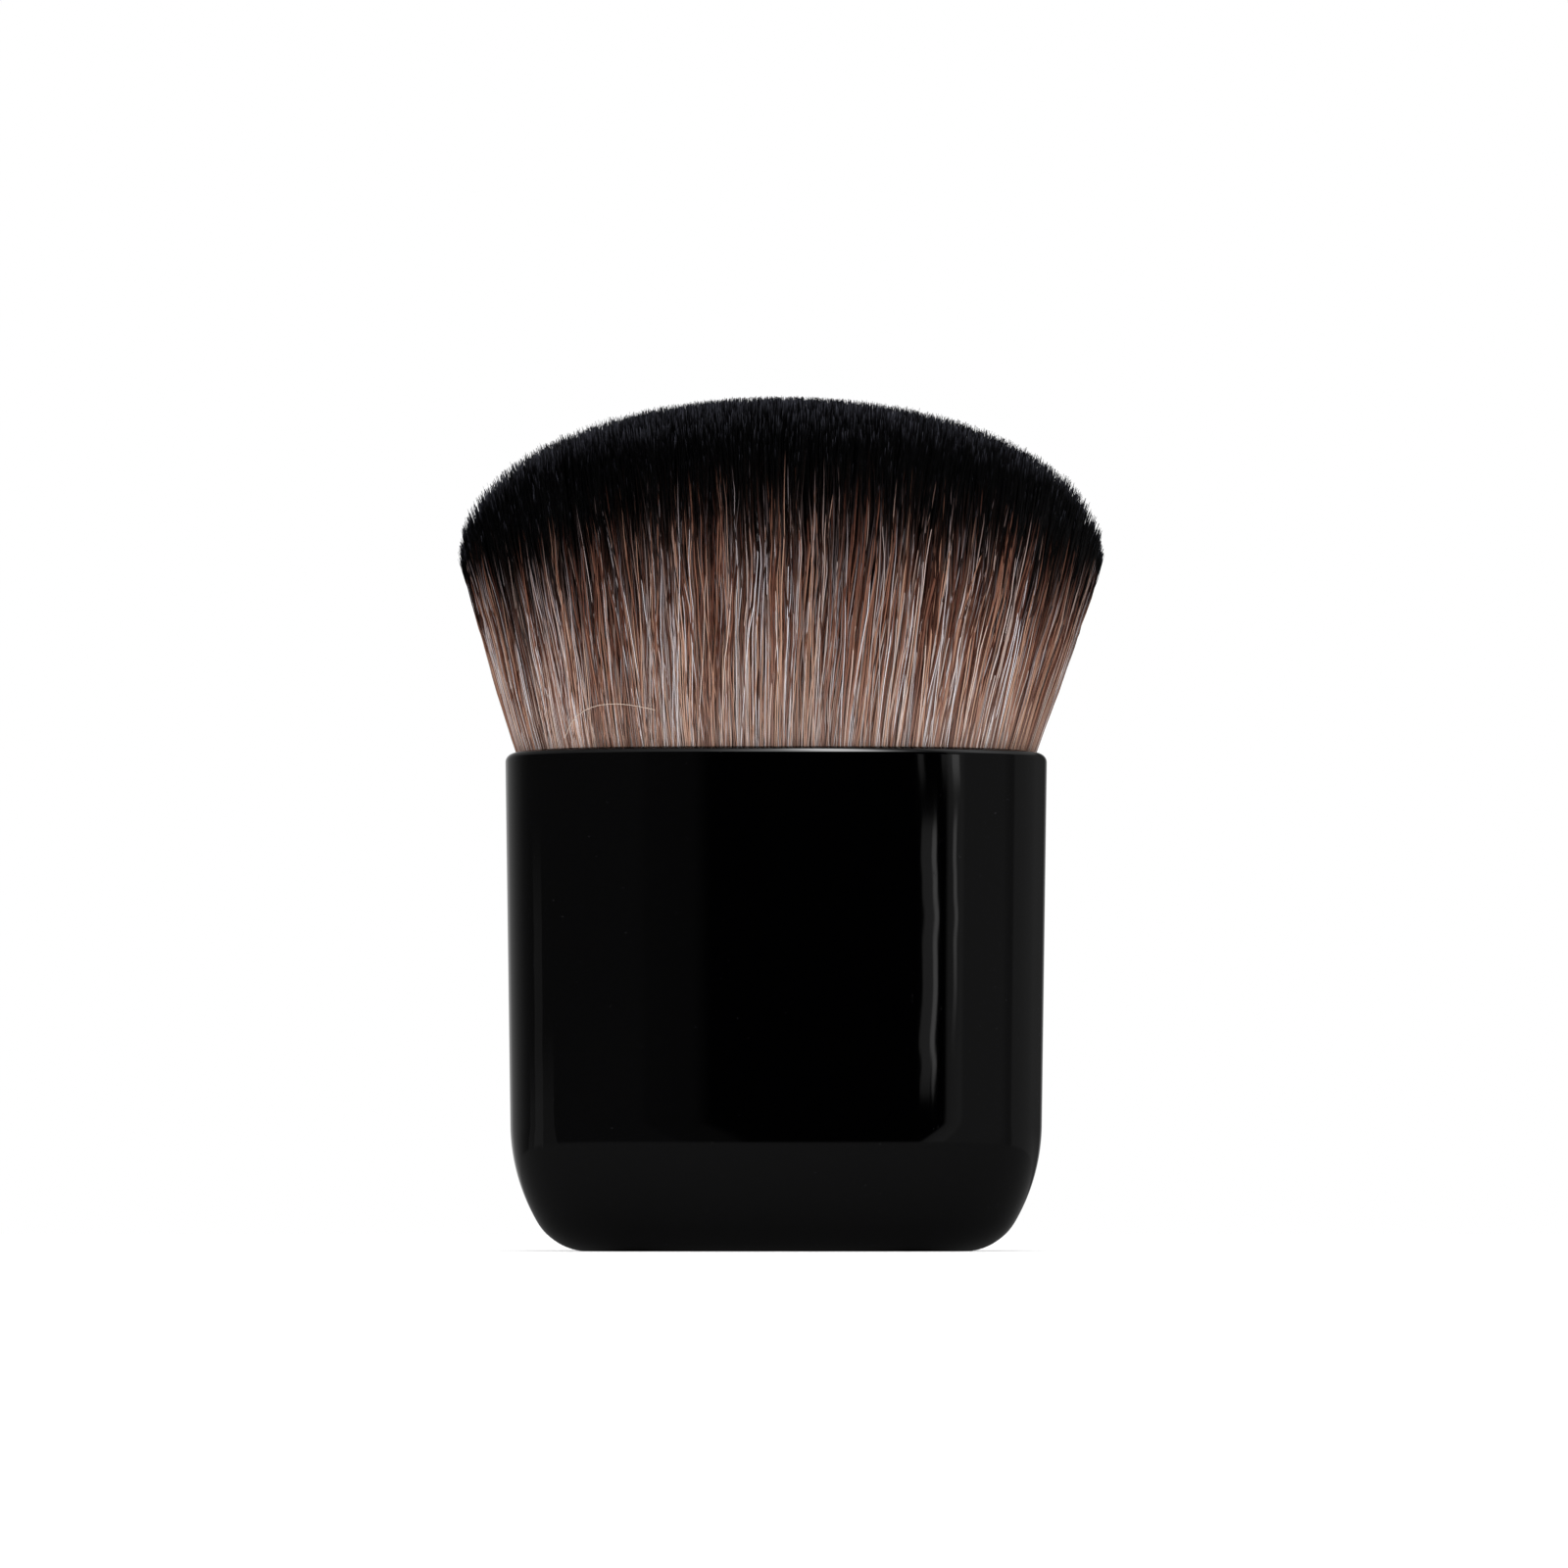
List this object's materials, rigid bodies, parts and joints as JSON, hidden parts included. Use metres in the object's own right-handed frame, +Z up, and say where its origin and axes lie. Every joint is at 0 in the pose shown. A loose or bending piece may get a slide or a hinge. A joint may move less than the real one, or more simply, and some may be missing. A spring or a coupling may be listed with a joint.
{
  "type": "kabuki makeup brush",
  "caption": "Flat kabuki makeup brush: gloss block handle on a flat base, with a short flared filament head whose crown is a dome with dyed tips.",
  "frame": {"origin": "centre of the flat base, on the surface that the brush stands on", "axes": "+Z up from the base to the head, X across the wide front, -Y towards the viewer"},
  "size_m": [0.0526, 0.0369, 0.0696],
  "materials": {
    "black_gloss": "mirror-smooth black moulding",
    "foam_tape": "dark foam tape",
    "steel": "sawn steel block",
    "black_moulding": "plain moulded insert",
    "adhesive": "cured adhesive",
    "drawn_aluminium": "drawn aluminium",
    "resin": "amber cast resin",
    "thread": "waxed binding thread",
    "filaments": "fine waved filaments, brown with black tips"
  },
  "bodies": {
    "root": {"handle_shell": "black_gloss", "weight_tape": "foam_tape", "counterweight": "steel", "cup_holder": "black_moulding", "holder_adhesive": "adhesive", "ferrule_cup": "drawn_aluminium", "root_resin": "resin", "binding_thread": "thread", "filament_tuft": "filaments"}
  },
  "joints": []
}
